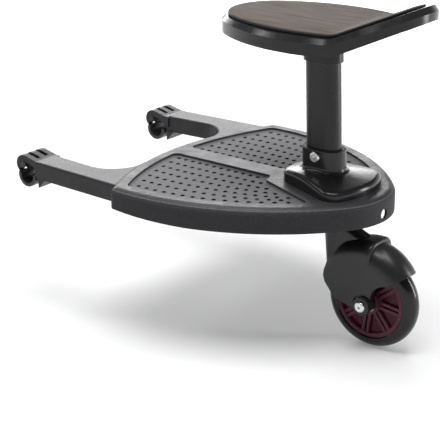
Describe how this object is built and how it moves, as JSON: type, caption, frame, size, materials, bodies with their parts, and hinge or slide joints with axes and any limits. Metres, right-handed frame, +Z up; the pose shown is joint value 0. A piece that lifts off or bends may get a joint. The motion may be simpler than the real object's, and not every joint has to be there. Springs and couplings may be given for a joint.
{
  "type": "buggy board with seat",
  "caption": "Ride-on board that hooks on a stroller's rear axle tube and trails on a hooded swivel caster, with a moulded foot deck and a padded seat on a post.",
  "frame": {"origin": "midway between the two axle hooks, on the axis of the axle tube that they hold", "axes": "+X towards the rear, +Y towards the right in the direction of travel and along the axle tube, +Z up"},
  "size_m": [0.488, 0.3264, 0.4054],
  "materials": {
    "deck_plastic": "matte, fine grain",
    "gloss_black": "gloss",
    "satin_black": "satin",
    "post_paint": "satin",
    "pad_foam": "matte",
    "rim_red": "satin",
    "tyre_black": "gloss",
    "steel": "satin",
    "bush_plastic": "matte"
  },
  "bodies": {
    "board": {"deck_shell": "deck_plastic", "left_arm": "deck_plastic", "right_arm": "deck_plastic", "arm_screws": "steel", "left_hook_pin": "satin_black", "right_hook_pin": "satin_black", "pin_clips": "satin_black", "seat_socket": "gloss_black", "socket_screws": "steel", "seat_post": "post_paint", "post_bolt": "steel", "post_nut": "steel", "seat_shell": "gloss_black", "seat_screws": "steel", "seat_pad": "pad_foam", "lower_swivel_bush": "bush_plastic", "upper_swivel_bush": "bush_plastic"},
    "caster": {"swivel_washer": "steel", "caster_stem": "steel", "stem_clip": "steel", "caster_fork": "satin_black", "axle_bolt": "steel", "axle_nut": "steel", "axle_sleeve": "steel"},
    "wheel": {"wheel_rim": "rim_red", "tyre": "tyre_black", "left_bearing": "steel", "right_bearing": "steel"},
    "left_hook": {"left_axle_hook": "satin_black"},
    "right_hook": {"right_axle_hook": "satin_black"}
  },
  "joints": [
    {"name": "caster_swivel", "type": "hinge", "parent": "board", "child": "caster", "pos_m": [0.359, 0, -0.02], "axis": [0, 0, 1], "continuous": true},
    {"name": "wheel_spin", "type": "hinge", "parent": "caster", "child": "wheel", "pos_m": [0.4135, 0, -0.103], "axis": [0, 1, 0], "continuous": true},
    {"name": "left_hook_pivot", "type": "hinge", "parent": "board", "child": "left_hook", "pos_m": [-0.005, -0.123, 0.0135], "axis": [0, 1, 0], "range_deg": [-10, 60]},
    {"name": "right_hook_pivot", "type": "hinge", "parent": "board", "child": "right_hook", "pos_m": [-0.005, 0.123, 0.0135], "axis": [0, 1, 0], "range_deg": [-10, 60]}
  ]
}
